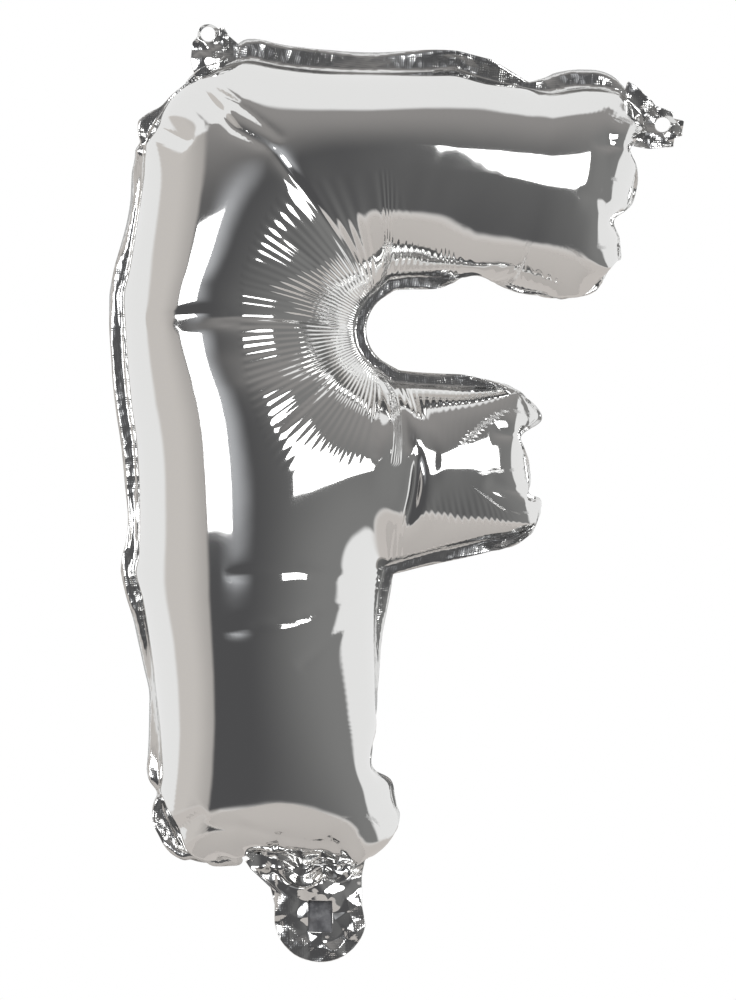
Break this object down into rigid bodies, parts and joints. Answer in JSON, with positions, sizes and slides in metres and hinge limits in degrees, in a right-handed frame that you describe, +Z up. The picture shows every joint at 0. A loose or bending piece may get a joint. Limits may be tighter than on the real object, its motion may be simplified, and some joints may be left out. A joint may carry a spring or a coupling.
{
  "type": "letter foil balloon",
  "caption": "Air-filled mirror foil balloon shaped as the letter F, with a welded margin, eyelet tabs at the upper corners and a filling tail with a flat valve at the foot.",
  "frame": {"origin": "centre of the left eyelet's hole, in the plane of the weld", "axes": "+X from the stem to the tips of the arms, -Y out of the front of the letter, +Z up"},
  "size_m": [0.2508, 0.1068, 0.4057],
  "materials": {
    "metallised_film": "mirror-bright silver metallised film, lightly crinkled near the welds",
    "valve_film": "thin grey heat-sealable film"
  },
  "bodies": {
    "root": {"foil_front": "metallised_film", "foil_back": "metallised_film", "hang_tab_left": "metallised_film", "hang_tab_right": "metallised_film", "tail_front": "metallised_film", "tail_back": "metallised_film", "valve_film": "valve_film"}
  },
  "joints": []
}
